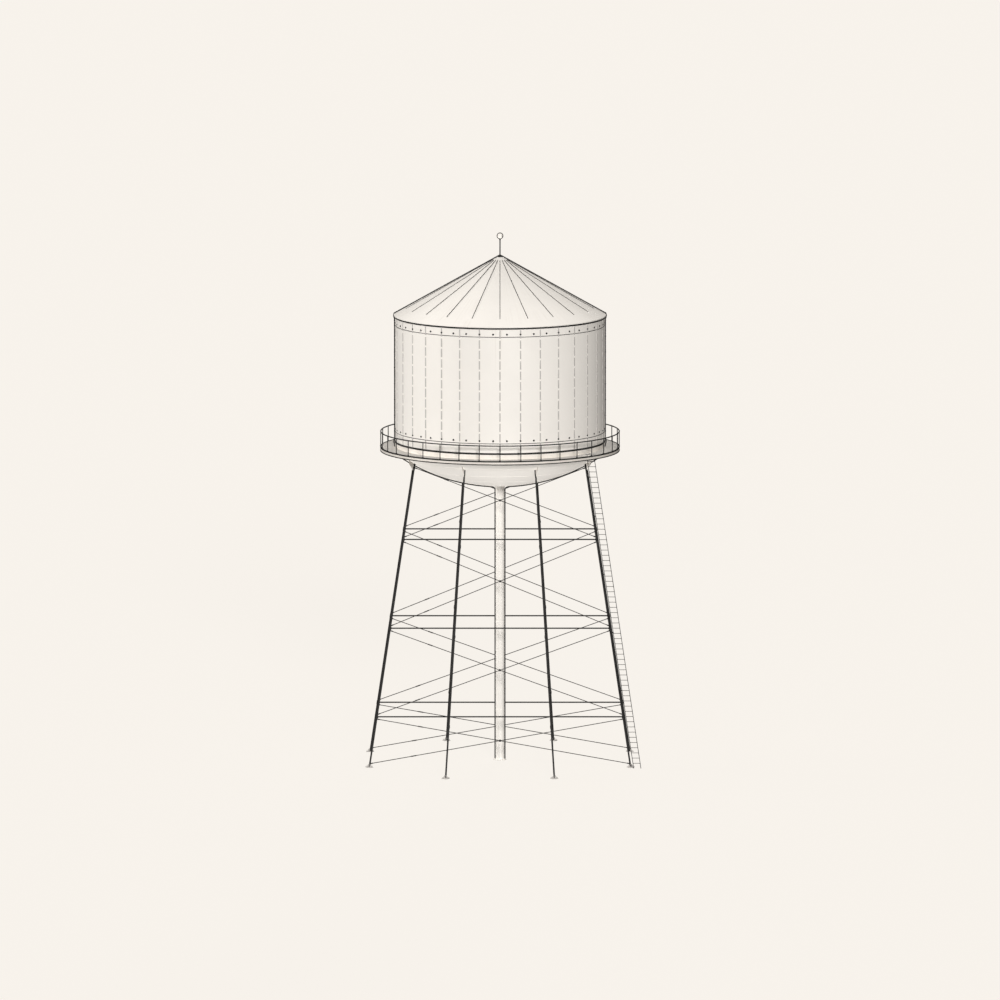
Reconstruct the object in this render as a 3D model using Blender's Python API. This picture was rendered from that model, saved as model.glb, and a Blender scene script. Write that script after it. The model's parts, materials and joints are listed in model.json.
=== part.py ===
"""Elevated steel water tower: a round tank with a cone roof and a dished bottom on eight battered legs.

Metres, +Z up. The origin is the middle of the riser pipe's base, on the ground. The front looks towards -Y.
The legs stand on a circle, 45 degrees apart. Two braced bents run along X and two along Y, so that a view
from the front shows four leg lines, level struts and wide crossed rods.
"""
import math

import bmesh
import bpy
from mathutils import Matrix, Vector

# Tank
TANK_RADIUS = 6.10
WALL = 0.06
SHELL_BOTTOM_Z = 18.81
SHELL_TOP_Z = 26.18
KNUCKLE_RADIUS = 1.17
CROWN_RADIUS = 10.44
ROUND_STEPS = 48
SHELL_PARTS = 4
BOTTOM_RING_DEPTH = 0.05
BOTTOM_RING_HEIGHT = 0.10

# Roof
EAVE_RADIUS = 6.19
EAVE_Z = 26.24
APEX_Z = 29.69
ROOF_FLAT_RADIUS = 0.14
EAVE_RING_DEPTH = 0.06
EAVE_RING_HEIGHT = 0.08

# Finial
ROD_RADIUS = 0.036
BALL_RADIUS = 0.195
BALL_Z = 30.85
CAP_HEIGHT = 0.09

# Walkway
DECK_RADIUS = 6.99
DECK_TOP_Z = 18.48
DECK_DEPTH = 0.18
DECK_PLATE = 0.05
FASCIA_WIDTH = 0.05
BEAM_WIDTH = 0.06
HATCH_BAY_START = math.radians(-45)
HATCH_BAY_SWEEP = math.radians(20)
RAIL_TOP_Z = 19.42
RAIL_TUBE_RADIUS = 0.03
POST_WIDTH = 0.045
POST_COUNT = 36
RAIL_PARTS = 4
RAIL_STEPS = 18

# Legs
LEG_COUNT = 8
LEG_CIRCLE_AT_GROUND = 8.25
LEG_CIRCLE_AT_DECK = 5.28
LEG_DECK_Z = 18.32
LEG_RADIUS = 0.05
LEG_SIDES = 16
BASE_PLATE_WIDTH = 0.36
BASE_PLATE_HEIGHT = 0.04
GUSSET_THICKNESS = 0.04
GUSSET_BOTTOM_Z = 17.30
GUSSET_EDGE_Z = 17.75
GUSSET_TOP_Z = 18.20
GUSSET_REACH = 0.30
GUSSET_INSET = 0.02

# Bracing
STRUT_LEVELS = (2.96, 8.13, 13.31)
STRUT_RADIUS = 0.04
STRUT_SIDES = 8
ROD_BRACE_RADIUS = 0.022
ROD_BRACE_SIDES = 6
LOWEST_ROD_Z = 0.22
HIGHEST_ROD_Z = 17.50
ROD_STEP_ACROSS = 0.13
ROD_STEP_ALONG = 0.31
CROSSING_DISC_RADIUS = 0.07
CROSSING_DISC_THICKNESS = 0.06

# Riser
RISER_RADIUS = 0.257
RISER_FLANGE_RADIUS = 0.36
RISER_FLANGE_HEIGHT = 0.05
RISER_SIDES = 32

# Ladder
STILE_OFFSETS = (0.175, 0.596)
STILE_WIDTH = 0.03
STILE_DEPTH = 0.06
RUNG_SPACING = 0.306
RUNG_RADIUS = 0.013
LADDER_Y_AT_GROUND = -3.56
LADDER_Y_AT_DECK = -3.60
ARM_LEVELS = (1.20, 4.60, 8.00, 11.40, 14.80, 17.10)
ARM_RADIUS = 0.02
HATCH_LOW = (4.88, -4.05)
HATCH_HIGH = (5.60, -3.47)

# Gap kept between neighbouring solids
SEAT_GAP = 0.0003

# Where each leg stands: the side it is on, then the end of that side
LEG_NAMES = ("right_back", "back_right", "back_left", "left_back",
             "left_front", "front_left", "front_right", "right_front")
BENTS = {
    "front": ("left_front", "right_front"),
    "back": ("left_back", "right_back"),
    "left": ("front_left", "back_left"),
    "right": ("front_right", "back_right"),
}
LADDER_LEG = "right_front"


def clear_scene():
    for item in list(bpy.data.objects):
        bpy.data.objects.remove(item, do_unlink=True)


def painted(name, colour, roughness, metallic):
    """A plain painted steel finish."""
    material = bpy.data.materials.new(name)
    material.use_nodes = True
    shader = material.node_tree.nodes["Principled BSDF"]
    shader.inputs["Base Color"].default_value = (*colour, 1.0)
    shader.inputs["Roughness"].default_value = roughness
    shader.inputs["Metallic"].default_value = metallic
    return material


def cream_paint(name):
    return painted(name, (0.86, 0.82, 0.75), 0.5, 0.0)


def dark_paint(name):
    return painted(name, (0.035, 0.033, 0.031), 0.5, 0.0)


def add_object(name, shape, smooth_angle=None):
    """Turns a bmesh into an object, with round parts shaded smooth."""
    bmesh.ops.recalc_face_normals(shape, faces=shape.faces)
    mesh = bpy.data.meshes.new(name)
    shape.to_mesh(mesh)
    shape.free()
    if smooth_angle is not None:
        mesh.shade_smooth()
        mesh.set_sharp_from_angle(angle=math.radians(smooth_angle))
    item = bpy.data.objects.new(name, mesh)
    bpy.context.collection.objects.link(item)
    return item


def finish(item, material):
    item.data.materials.clear()
    item.data.materials.append(material)
    return item


def combine(item, other, operation):
    """Applies a Boolean with another object, and removes that object."""
    modifier = item.modifiers.new(operation.title(), "BOOLEAN")
    modifier.operation = operation
    modifier.solver = "EXACT"
    modifier.object = other
    bpy.context.view_layer.update()
    bpy.context.view_layer.objects.active = item
    bpy.ops.object.modifier_apply(modifier=modifier.name)
    bpy.data.objects.remove(other, do_unlink=True)
    return item


def fuse(item, *others):
    for other in others:
        combine(item, other, "UNION")
    return item


def lathe(name, profile, steps, start=0.0, sweep=math.tau, smooth_angle=30):
    """Turns a closed profile of (radius, height) points about Z."""
    shape = bmesh.new()
    points = [shape.verts.new((radius, 0.0, height)) for radius, height in profile]
    edges = []
    for near, far in zip(points, points[1:] + points[:1]):
        if near.co.x > 0 or far.co.x > 0:
            edges.append(shape.edges.new((near, far)))
    whole = math.isclose(sweep, math.tau)
    turned = points + edges if whole else points + edges + [shape.faces.new(points)]
    bmesh.ops.rotate(shape, verts=points, cent=(0, 0, 0), matrix=Matrix.Rotation(start, 3, "Z"))
    bmesh.ops.spin(shape, geom=turned, cent=(0, 0, 0), axis=(0, 0, 1), angle=sweep, steps=steps, use_merge=whole)
    bmesh.ops.remove_doubles(shape, verts=shape.verts, dist=1e-6)
    return add_object(name, shape, smooth_angle)


def block(shape, low, high, placed=None):
    """Adds a box to a bmesh, between two corners, then moved by a matrix."""
    size = Vector(high) - Vector(low)
    middle = (Vector(high) + Vector(low)) / 2
    scaled = Matrix.Translation(middle) @ Matrix.Diagonal((*size, 1.0))
    bmesh.ops.create_cube(shape, size=1.0, matrix=(placed or Matrix()) @ scaled)


def bottom_profile(offset):
    """The dished bottom's curve from the shell's edge to the middle, moved out by an offset."""
    knuckle_middle = TANK_RADIUS - KNUCKLE_RADIUS
    crown_z = SHELL_BOTTOM_Z + math.sqrt((CROWN_RADIUS - KNUCKLE_RADIUS) ** 2 - knuckle_middle ** 2)
    turn = math.acos(knuckle_middle / (CROWN_RADIUS - KNUCKLE_RADIUS))
    knuckle_steps, crown_steps = 4, 6
    points = []
    for step in range(knuckle_steps + 1):
        angle = turn * step / knuckle_steps
        reach = KNUCKLE_RADIUS + offset
        points.append((knuckle_middle + reach * math.cos(angle), SHELL_BOTTOM_Z - reach * math.sin(angle)))
    for step in range(1, crown_steps + 1):
        angle = turn + (math.pi / 2 - turn) * step / crown_steps
        reach = CROWN_RADIUS + offset
        points.append((reach * math.cos(angle), crown_z - reach * math.sin(angle)))
    points[-1] = (0.0, points[-1][1])
    return points


def bottom_space():
    """A solid just larger than the dished bottom, which cuts whatever is seated on it."""
    curve = bottom_profile(SEAT_GAP)
    above = [(0.0, SHELL_BOTTOM_Z + 1.0), (curve[0][0], SHELL_BOTTOM_Z + 1.0)]
    return lathe("bottom_space", above + curve, ROUND_STEPS)


def leg_circle_at(z):
    slope = (LEG_CIRCLE_AT_DECK - LEG_CIRCLE_AT_GROUND) / LEG_DECK_Z
    return LEG_CIRCLE_AT_GROUND + slope * z


def leg_angle(name):
    spacing = math.tau / LEG_COUNT
    return spacing * (LEG_NAMES.index(name) + 0.5)


def leg_point(name, z):
    angle = leg_angle(name)
    reach = leg_circle_at(z)
    return Vector((reach * math.cos(angle), reach * math.sin(angle), z))


def leg_space(name):
    """A solid just larger than a leg's tube, which cuts the ends of the bars that it carries."""
    shape = bmesh.new()
    radius = LEG_RADIUS + SEAT_GAP / math.cos(math.pi / LEG_SIDES)
    straight_bar(shape, leg_point(name, 0.0), leg_point(name, LEG_DECK_Z), radius, LEG_SIDES, True)
    return add_object("leg_space", shape)


def bar_between_legs(ends, heights, radius, sides):
    """A bar that ends against the surfaces of two legs."""
    low, high = (leg_point(name, z) for name, z in zip(ends, heights))
    shape = bmesh.new()
    straight_bar(shape, low, high, radius, sides)
    bar = add_object("bar", shape, 60)
    for name in ends:
        combine(bar, leg_space(name), "DIFFERENCE")
    return bar


def close_tube(shape, rings):
    """Joins two rings of points with sides, and closes both ends."""
    near, far = rings
    count = len(near)
    for step in range(count):
        after = (step + 1) % count
        shape.faces.new((near[step], near[after], far[after], far[step]))
    shape.faces.new(near)
    shape.faces.new(far)


def straight_bar(shape, low, high, radius, sides, level_ends=False):
    """Adds a bar between two points; level ends are cut in horizontal planes."""
    low, high = Vector(low), Vector(high)
    direction = (high - low).normalized()
    side = Vector((1, 0, 0)) if level_ends else direction.orthogonal().normalized()
    up = Vector((0, 1, 0)) if level_ends else side.cross(direction)
    rings = [[], []]
    for step in range(sides):
        angle = math.tau * (step + 0.5) / sides
        offset = radius * (math.cos(angle) * side + math.sin(angle) * up)
        rings[0].append(shape.verts.new(low + offset))
        rings[1].append(shape.verts.new(high + offset))
    close_tube(shape, rings)


def make_leg(name, material):
    angle = leg_angle(name)
    outward = Matrix.Rotation(angle, 4, "Z")
    post = bmesh.new()
    straight_bar(post, leg_point(name, BASE_PLATE_HEIGHT / 2), leg_point(name, LEG_DECK_Z), LEG_RADIUS, LEG_SIDES, True)
    leg = add_object("leg_" + name, post, 40)

    plate = bmesh.new()
    half = BASE_PLATE_WIDTH / 2
    reach = leg_circle_at(0.0)
    block(plate, (reach - half, -half, 0.0), (reach + half, half, BASE_PLATE_HEIGHT), outward)

    gusset = bmesh.new()
    half = GUSSET_THICKNESS / 2
    low_reach = leg_circle_at(GUSSET_BOTTOM_Z)
    outline = [(low_reach, GUSSET_BOTTOM_Z), (low_reach + GUSSET_REACH, GUSSET_EDGE_Z),
               (low_reach + GUSSET_REACH, GUSSET_TOP_Z), (leg_circle_at(GUSSET_TOP_Z) - GUSSET_INSET, GUSSET_TOP_Z),
               (low_reach - GUSSET_INSET, GUSSET_BOTTOM_Z)]
    rings = [[gusset.verts.new(outward @ Vector((r, y, z))) for r, z in outline] for y in (-half, half)]
    close_tube(gusset, rings)

    fuse(leg, add_object("base_plate", plate), add_object("gusset", gusset))
    combine(leg, bottom_space(), "DIFFERENCE")
    return finish(leg, material)


def make_strut_grid(level, z, material):
    """Four level struts, two along X and two along Y, joined where they cross."""
    grid = fuse(*[bar_between_legs(ends, (z, z), STRUT_RADIUS, STRUT_SIDES) for ends in BENTS.values()])
    grid.name = f"strut_grid_{level}"
    return finish(grid, material)


def make_rod_cross(bent, tier, low_z, high_z, material):
    """Two rods from leg to leg, fixed to a disc where they cross."""
    ends = BENTS[bent]
    slopes = ((low_z, high_z), (high_z, low_z))
    bars = [bar_between_legs(ends, heights, ROD_BRACE_RADIUS, ROD_BRACE_SIDES) for heights in slopes]
    cross = fuse(crossing_disc(ends, low_z, high_z), *bars)
    cross.name = f"rods_{bent}_{tier}"
    return finish(cross, material)


def crossing_disc(ends, low_z, high_z):
    """A round plate in the bent's plane, at the point where its two rods cross."""
    first, second = (leg_point(name, low_z) for name in ends)
    third, fourth = (leg_point(name, high_z) for name in ends)
    share = (second - first).length / ((second - first).length + (fourth - third).length)
    middle = first.lerp(fourth, share)
    across = (second - first).normalized()
    facing = across.cross(third - first).normalized()
    half = facing * CROSSING_DISC_THICKNESS / 2
    shape = bmesh.new()
    straight_bar(shape, middle - half, middle + half, CROSSING_DISC_RADIUS, 12)
    return add_object("disc", shape, 50)


def make_bracing(material_of):
    for level, z in enumerate(STRUT_LEVELS, 1):
        make_strut_grid(level, z, material_of(f"strut_grid_{level}"))
    floors = (LOWEST_ROD_Z - ROD_STEP_ACROSS,) + STRUT_LEVELS
    tops = STRUT_LEVELS + (HIGHEST_ROD_Z + ROD_STEP_ACROSS,)
    for bent in BENTS:
        step = ROD_STEP_ACROSS if bent in ("front", "back") else ROD_STEP_ALONG
        for tier, (low, high) in enumerate(zip(floors, tops), 1):
            make_rod_cross(bent, tier, low + step, high - step, material_of(f"rods_{bent}_{tier}"))


def make_shell(material_of):
    """The tank's round wall, as equal curved plates whose joints face the corners of the plan."""
    inside = TANK_RADIUS - WALL
    low = SHELL_BOTTOM_Z + SEAT_GAP
    high = SHELL_TOP_Z - SEAT_GAP
    profile = [(inside, low), (TANK_RADIUS, low), (TANK_RADIUS, high), (inside, high)]
    trim = SEAT_GAP / TANK_RADIUS
    sweep = math.tau / SHELL_PARTS
    for index, side in enumerate(("right", "back", "left", "front")):
        start = sweep * (index - 0.5)
        name = "tank_wall_" + side
        plate = lathe(name, profile, ROUND_STEPS // SHELL_PARTS, start + trim, sweep - 2 * trim)
        finish(plate, material_of(name))


def make_bottom(material):
    outer = bottom_profile(0.0)
    inner = bottom_profile(-WALL)
    return finish(lathe("tank_bottom", outer + inner[::-1], ROUND_STEPS, smooth_angle=40), material)


def make_roof(material):
    slope = (APEX_Z - EAVE_Z) / EAVE_RADIUS
    seat = TANK_RADIUS - WALL - 0.02
    drop = EAVE_Z - SHELL_TOP_Z
    under_top = APEX_Z - drop
    flat_z = APEX_Z - slope * ROOF_FLAT_RADIUS
    profile = [(0.0, under_top - slope * ROOF_FLAT_RADIUS), (ROOF_FLAT_RADIUS, under_top - slope * ROOF_FLAT_RADIUS),
               (seat, under_top - slope * EAVE_RADIUS + 0.10), (seat, SHELL_TOP_Z), (EAVE_RADIUS, SHELL_TOP_Z),
               (EAVE_RADIUS, EAVE_Z), (ROOF_FLAT_RADIUS, flat_z), (0.0, flat_z)]
    return finish(lathe("tank_roof", profile, ROUND_STEPS), material)


def band(name, depth, low, high, material):
    """A ring around the tank's wall."""
    inner = TANK_RADIUS + SEAT_GAP
    profile = [(inner, low), (inner + depth, low), (inner + depth, high), (inner, high)]
    return finish(lathe(name, profile, ROUND_STEPS), material)


def make_finial(material):
    slope = (APEX_Z - EAVE_Z) / EAVE_RADIUS
    seat_z = APEX_Z - slope * ROOF_FLAT_RADIUS + SEAT_GAP
    steps = 8
    ball = []
    low_angle = math.asin(ROD_RADIUS / BALL_RADIUS)
    for step in range(steps + 1):
        angle = low_angle + (math.pi - low_angle) * step / steps
        ball.append((BALL_RADIUS * math.sin(angle), BALL_Z - BALL_RADIUS * math.cos(angle)))
    ball[-1] = (0.0, ball[-1][1])
    profile = [(0.0, seat_z), (ROOF_FLAT_RADIUS, seat_z), (ROD_RADIUS, seat_z + CAP_HEIGHT)] + ball
    return finish(lathe("finial", profile, 16, smooth_angle=45), material)


def make_deck_part(name, start, sweep, material):
    """An arc of the ring walkway: plate and fascia on radial beams, cut around the tank and at the ladder's hatch."""
    inner = TANK_RADIUS - 0.2
    bottom = DECK_TOP_Z - DECK_DEPTH
    under = DECK_TOP_Z - DECK_PLATE
    inside = DECK_RADIUS - FASCIA_WIDTH
    profile = [(inner, under), (inside, under), (inside, bottom), (DECK_RADIUS, bottom),
               (DECK_RADIUS, DECK_TOP_Z), (inner, DECK_TOP_Z)]
    spacing = math.tau / POST_COUNT
    trim = SEAT_GAP / DECK_RADIUS
    deck = lathe(name, profile, round(2 * sweep / spacing), start + trim, sweep - 2 * trim)
    beams = bmesh.new()
    half = BEAM_WIDTH / 2
    for index in range(math.ceil(start / spacing), math.ceil((start + sweep) / spacing)):
        turned = Matrix.Rotation(spacing * index, 4, "Z")
        block(beams, (inner, -half, bottom + 0.02), (inside + 0.02, half, under + 0.02), turned)
    fuse(deck, add_object("beams", beams))
    hatch = bmesh.new()
    block(hatch, (*HATCH_LOW, bottom - 0.1), (*HATCH_HIGH, DECK_TOP_Z + 0.1))
    combine(deck, add_object("hatch", hatch), "DIFFERENCE")
    combine(deck, bottom_space(), "DIFFERENCE")
    return finish(deck, material)


def make_deck(material_of):
    """The bay with the ladder's hatch is a part of its own, bolted into the rest of the ring."""
    rest_start = HATCH_BAY_START + HATCH_BAY_SWEEP
    make_deck_part("walkway_deck", rest_start, math.tau - HATCH_BAY_SWEEP, material_of("walkway_deck"))
    make_deck_part("walkway_hatch_bay", HATCH_BAY_START, HATCH_BAY_SWEEP, material_of("walkway_hatch_bay"))


def rail_tube(start, sweep):
    """An arc of round top rail."""
    reach = DECK_RADIUS - RAIL_TUBE_RADIUS
    middle_z = RAIL_TOP_Z - RAIL_TUBE_RADIUS
    sides = 8
    section = []
    for step in range(sides):
        angle = math.tau * (step + 0.5) / sides
        section.append((reach + RAIL_TUBE_RADIUS * math.cos(angle), middle_z + RAIL_TUBE_RADIUS * math.sin(angle)))
    return lathe("rail", section, RAIL_STEPS, start, sweep, smooth_angle=60)


def make_railing(material_of):
    """Upright posts under an arc of top rail, one part for each side of the walkway."""
    sweep = math.tau / RAIL_PARTS
    trim = SEAT_GAP / DECK_RADIUS
    reach = DECK_RADIUS - RAIL_TUBE_RADIUS
    half = POST_WIDTH / 2
    posts_each = POST_COUNT // RAIL_PARTS
    for index, side in enumerate(("right", "back", "left", "front")):
        start = sweep * (index - 0.5)
        rail = rail_tube(start + trim, sweep - 2 * trim)
        posts = bmesh.new()
        for step in range(posts_each):
            turned = Matrix.Rotation(start + sweep * (step + 0.5) / posts_each, 4, "Z")
            low = (reach - half, -half, DECK_TOP_Z + SEAT_GAP)
            block(posts, low, (reach + half, half, RAIL_TOP_Z - RAIL_TUBE_RADIUS), turned)
        fuse(rail, add_object("posts", posts))
        rail.name = "walkway_rail_" + side
        finish(rail, material_of(rail.name))


def make_riser(material):
    profile = [(0.0, 0.0), (RISER_FLANGE_RADIUS, 0.0), (RISER_FLANGE_RADIUS, RISER_FLANGE_HEIGHT),
               (RISER_RADIUS, RISER_FLANGE_HEIGHT), (RISER_RADIUS, SHELL_BOTTOM_Z), (0.0, SHELL_BOTTOM_Z)]
    riser = lathe("riser_pipe", profile, RISER_SIDES)
    combine(riser, bottom_space(), "DIFFERENCE")
    return finish(riser, material)


def ladder_point(offset, z):
    """A point on the ladder's line, an offset to the right of its leg."""
    share = z / LEG_DECK_Z
    y = LADDER_Y_AT_GROUND + (LADDER_Y_AT_DECK - LADDER_Y_AT_GROUND) * share
    return Vector((leg_point(LADDER_LEG, z).x + offset, y, z))


def make_ladder(material):
    """Two stiles that follow the leg's batter, with rungs, and arms that reach back to the leg."""
    stiles = bmesh.new()
    half = Vector((STILE_WIDTH / 2, STILE_DEPTH / 2, 0))
    for offset in STILE_OFFSETS:
        rings = []
        for z in (0.0, DECK_TOP_Z):
            middle = ladder_point(offset, z)
            corners = ((-1, -1), (1, -1), (1, 1), (-1, 1))
            rings.append([stiles.verts.new(middle + Vector((x * half.x, y * half.y, 0))) for x, y in corners])
        close_tube(stiles, rings)
    ladder = add_object("ladder", stiles)

    rungs = bmesh.new()
    for step in range(1, int(DECK_TOP_Z / RUNG_SPACING) + 1):
        z = step * RUNG_SPACING
        straight_bar(rungs, ladder_point(STILE_OFFSETS[0], z), ladder_point(STILE_OFFSETS[1], z), RUNG_RADIUS, 4)

    arms = bmesh.new()
    for z in ARM_LEVELS:
        straight_bar(arms, ladder_point(STILE_OFFSETS[0], z), leg_point(LADDER_LEG, z), ARM_RADIUS, 6)
    arms = combine(add_object("arms", arms), leg_space(LADDER_LEG), "DIFFERENCE")
    fuse(ladder, add_object("rungs", rungs), arms)
    return finish(ladder, material)


def main():
    clear_scene()
    make_shell(cream_paint)
    make_bottom(cream_paint("tank_bottom"))
    ring_low = SHELL_BOTTOM_Z - BOTTOM_RING_HEIGHT / 2
    band("bottom_ring", BOTTOM_RING_DEPTH, ring_low, ring_low + BOTTOM_RING_HEIGHT, dark_paint("bottom_ring"))
    make_roof(cream_paint("tank_roof"))
    ring_high = SHELL_TOP_Z - SEAT_GAP
    band("eave_ring", EAVE_RING_DEPTH, ring_high - EAVE_RING_HEIGHT, ring_high, dark_paint("eave_ring"))
    make_finial(dark_paint("finial"))
    make_deck(cream_paint)
    make_railing(dark_paint)
    for name in LEG_NAMES:
        make_leg(name, dark_paint("leg_" + name))
    make_bracing(dark_paint)
    make_riser(cream_paint("riser_pipe"))
    make_ladder(dark_paint("ladder"))


main()
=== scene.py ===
"""Elevated steel water tower, dressed: lapped tank plates with rivets and stitched seams, a ribbed cone
roof, a dished bottom, a railed ring walkway, eight tube legs with struts and tie rods, a riser pipe and a
ladder.

Metres, +Z up. The front looks towards -Y. Sizes start from the loaded frame or from named values here.
"""
import json
import math

import bpy
from bpy.props import FloatProperty, FloatVectorProperty, IntProperty, PointerProperty
from mathutils import Matrix, Vector


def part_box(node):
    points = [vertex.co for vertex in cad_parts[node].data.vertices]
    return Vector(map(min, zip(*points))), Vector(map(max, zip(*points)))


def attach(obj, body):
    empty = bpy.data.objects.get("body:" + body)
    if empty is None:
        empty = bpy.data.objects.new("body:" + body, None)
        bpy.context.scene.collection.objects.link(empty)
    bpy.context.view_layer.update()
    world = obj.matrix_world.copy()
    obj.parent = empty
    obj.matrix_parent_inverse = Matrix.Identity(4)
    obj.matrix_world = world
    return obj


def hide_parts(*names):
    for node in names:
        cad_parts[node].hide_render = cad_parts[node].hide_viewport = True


bl_info = {
    "name": "Steel Water Tower",
    "version": (1, 0, 0),
    "blender": (4, 5, 0),
    "location": "View3D > Sidebar > Water Tower",
    "description": "Plates, rivets, walkway, legs, tie rods, riser and ladder of a steel water tower",
    "category": "Add Mesh",
}

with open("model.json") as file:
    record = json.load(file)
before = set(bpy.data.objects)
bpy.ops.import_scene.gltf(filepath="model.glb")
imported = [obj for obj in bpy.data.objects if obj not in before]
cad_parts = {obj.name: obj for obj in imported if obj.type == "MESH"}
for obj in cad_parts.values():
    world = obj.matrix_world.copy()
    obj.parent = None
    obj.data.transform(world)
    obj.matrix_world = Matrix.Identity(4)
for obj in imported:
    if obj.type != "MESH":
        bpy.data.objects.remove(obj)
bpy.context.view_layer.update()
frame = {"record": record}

# Heights and radii read off the frame
TANK_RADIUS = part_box("tank_wall_right")[1].x
SHELL_LOW_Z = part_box("tank_bottom")[1].z
SHELL_HIGH_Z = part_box("tank_roof")[0].z
EAVE_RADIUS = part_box("tank_roof")[1].x
ROOF_FLAT_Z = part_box("tank_roof")[1].z
FINIAL_TOP_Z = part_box("finial")[1].z
DECK_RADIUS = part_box("walkway_deck")[1].x
DECK_TOP_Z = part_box("walkway_deck")[1].z
DECK_LOW_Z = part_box("walkway_deck")[0].z
RAIL_TOP_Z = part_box("walkway_rail_front")[1].z
LADDER_TOP_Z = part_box("ladder")[1].z
LEG_FEET = {mount["name"].removeprefix("foot_"): Vector(mount["pos_m"])
            for mount in frame["record"]["mounts"] if mount["name"].startswith("foot_")}

# Tank
WALL = 0.06
LAP = 0.006
LOW_LAP_Z = 19.42
HIGH_LAP_Z = 25.65
RIVET_ABOVE_LAP = 0.14
ROUND_STEPS = 192
BOWL_STEPS = (14, 26)
WELD_SPACING = 5
RISER_CLIP_LEVELS = (1.0, 2.5, 4.2, 5.9, 7.4, 9.1, 10.8, 12.4, 14.1, 15.6)
ROOF_EDGE = 0.06
ROOF_THICKNESS = 0.05
ROOF_FLAT_RADIUS = 0.14
ROOF_SLOPE = (ROOF_FLAT_Z - SHELL_HIGH_Z - ROOF_EDGE) / (EAVE_RADIUS - ROOF_FLAT_RADIUS)
ROOF_PITCH = math.atan(ROOF_SLOPE)

# Walkway
FLOOR_THICKNESS = 0.045
FLOOR_UNDER_Z = DECK_TOP_Z - FLOOR_THICKNESS
FASCIA_RADIUS = DECK_RADIUS - 0.05
FOOT_Z = DECK_TOP_Z + 0.022
HATCH_LOW = (4.88, -4.05)
HATCH_HIGH = (5.60, -3.47)

# Legs and bracing
LEG_CIRCLE_AT_DECK = 5.28
LEG_DECK_Z = 18.32
LEG_TOP_Z = 17.78
LEG_CIRCLE = LEG_FEET["right_front"].length
GUSSET_LOW_Z = 17.30
STRUT_LEVELS = (2.96, 8.13, 13.31)
LOWEST_ROD_Z = 0.22
HIGHEST_ROD_Z = 17.50
ROD_STEPS = {"front": 0.13, "back": 0.13, "left": 0.31, "right": 0.31}
BENTS = {
    "front": ("left_front", "right_front"),
    "back": ("left_back", "right_back"),
    "left": ("front_left", "back_left"),
    "right": ("front_right", "back_right"),
}

# Ladder
LADDER_LEG = "right_front"
STILE_OFFSETS = (0.175, 0.596)
LADDER_Y_AT_GROUND = -3.56
LADDER_Y_AT_DECK = -3.60
ARM_LEVELS = (1.20, 4.60, 8.00, 11.40, 14.80, 17.10)

# Lights: azimuth from the front, positive to the right, elevation, strength, softness, shadow and glints
LIGHTS = {
    "front_light": (8.0, 18.0, 3.3, 12.0, True, True),
    "left_light": (-108.0, 10.0, 2.25, 12.0, True, False),
    "back_light": (172.0, 12.0, 1.9, 12.0, True, False),
    "sky_light": (0.0, 88.0, 1.05, 20.0, False, False),
    "ground_bounce": (-75.0, -78.0, 3.2, 20.0, False, False),
}
LIGHT_COLOUR = (1.0, 0.995, 0.985)
LIGHT_DISTANCE = 60.0
FLOOR_RADIUS = 2500.0
FLOOR_GLOW = 0.944
FLOOR_SHADOW_SHARE = 0.07
FLOOR_BOUNCE_SHARE = 0.08
AMBIENT = 0.11

# Camera
AIM_Z = 15.32
FRAME_WIDTH = 58.4
LENS = 600.0
SENSOR = 36.0
VIEW_ELEVATION = 7.5

# Modelling
MERGE_DISTANCE = 1e-5
FRONT = -math.pi / 2
X_MIRROR = Matrix.Scale(-1.0, 4, (1, 0, 0))


class TowerSizes(bpy.types.PropertyGroup):
    """The tower's main sizes."""
    knuckle_radius: FloatProperty(name="Knuckle Radius", default=1.17, unit="LENGTH",
                                  description="Tight curve where the wall turns into the bottom")
    crown_radius: FloatProperty(name="Crown Radius", default=10.44, unit="LENGTH",
                                description="Wide curve of the dished bottom")
    seam_count: IntProperty(name="Wall Seams", default=32,
                            description="Upright stitched seams round the wall")
    rivet_count: IntProperty(name="Rivets", default=48, description="Rivets in each lap ring")
    rivet_radius: FloatProperty(name="Rivet Radius", default=0.060, unit="LENGTH",
                                description="Radius of a rivet's head")
    roof_seam_count: IntProperty(name="Roof Seams", default=21,
                                 description="Standing seams on the cone roof")
    post_count: IntProperty(name="Posts", default=36,
                            description="Railing posts, and beams under the walkway")
    leg_radius: FloatProperty(name="Leg Radius", default=0.050, unit="LENGTH",
                              description="Radius of a tube leg")
    strut_radius: FloatProperty(name="Strut Radius", default=0.04, unit="LENGTH",
                                description="Radius of a level strut")
    rod_radius: FloatProperty(name="Rod Radius", default=0.022, unit="LENGTH",
                              description="Radius of a tie rod")
    riser_radius: FloatProperty(name="Riser Radius", default=0.257, unit="LENGTH",
                                description="Radius of the riser pipe")
    conduit_radius: FloatProperty(name="Conduit Radius", default=0.035, unit="LENGTH",
                                  description="Radius of the earthing conduits")
    rung_spacing: FloatProperty(name="Rung Spacing", default=0.306, unit="LENGTH",
                                description="Height from rung to rung")


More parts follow.
